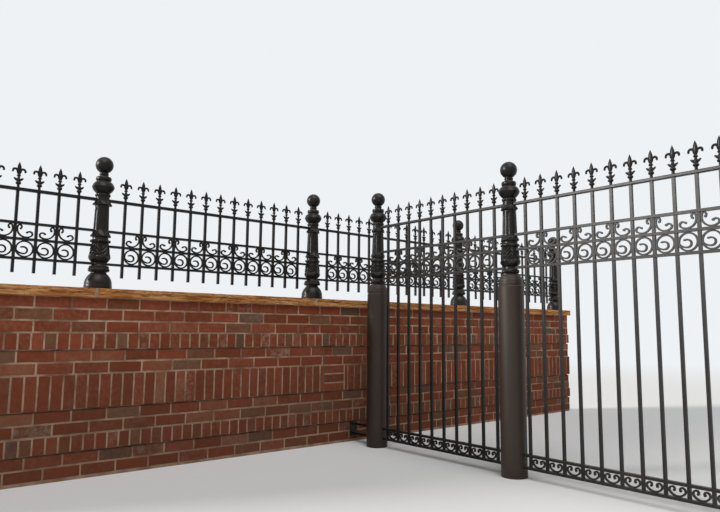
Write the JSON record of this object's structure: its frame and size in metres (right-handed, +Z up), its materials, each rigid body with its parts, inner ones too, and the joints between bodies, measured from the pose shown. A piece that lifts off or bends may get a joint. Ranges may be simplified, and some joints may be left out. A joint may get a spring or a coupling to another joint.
{
  "type": "wrought iron fence",
  "caption": "Dark iron railing with fleur-de-lis tips and scroll bands, on a low brick wall with stone coping, met by a full-height run at a right angle.",
  "frame": {"origin": "middle of the footprint at ground level", "axes": "+X along the brick wall, +Y from the tall run towards the wall, +Z up"},
  "size_m": [6.952, 3.446, 1.962],
  "materials": {
    "brick": "fired clay brick with pale mortar",
    "coping_stone": "rough split sandstone",
    "casting": "satin dark paint over cast iron",
    "column": "satin dark paint over steel tube",
    "bar": "satin dark paint over iron bar",
    "finial": "satin dark paint over cast iron"
  },
  "bodies": {
    "root": {"brick_wall": "brick", "coping_stone_1": "coping_stone", "coping_stone_2": "coping_stone", "coping_stone_3": "coping_stone", "coping_stone_4": "coping_stone", "ground_post_1": "column", "ground_post_2": "column", "ground_post_3": "column", "ground_post_ball_1": "casting", "ground_post_ball_2": "casting", "ground_post_ball_3": "casting", "ground_post_head_1": "casting", "ground_post_head_2": "casting", "ground_post_head_3": "casting", "low_panel_1": "bar", "low_panel_2": "bar", "low_panel_3": "bar", "low_panel_4": "bar", "low_panel_finials_1": "finial", "low_panel_finials_2": "finial", "low_panel_finials_3": "finial", "low_panel_finials_4": "finial", "tall_panel_1": "bar", "tall_panel_2": "bar", "tall_panel_finials_1": "finial", "tall_panel_finials_2": "finial", "wall_post_1": "casting", "wall_post_2": "casting", "wall_post_3": "casting", "wall_post_4": "casting", "wall_post_5": "casting", "wall_post_ball_1": "casting", "wall_post_ball_2": "casting", "wall_post_ball_3": "casting", "wall_post_ball_4": "casting", "wall_post_ball_5": "casting", "wall_tie": "bar"}
  },
  "joints": []
}
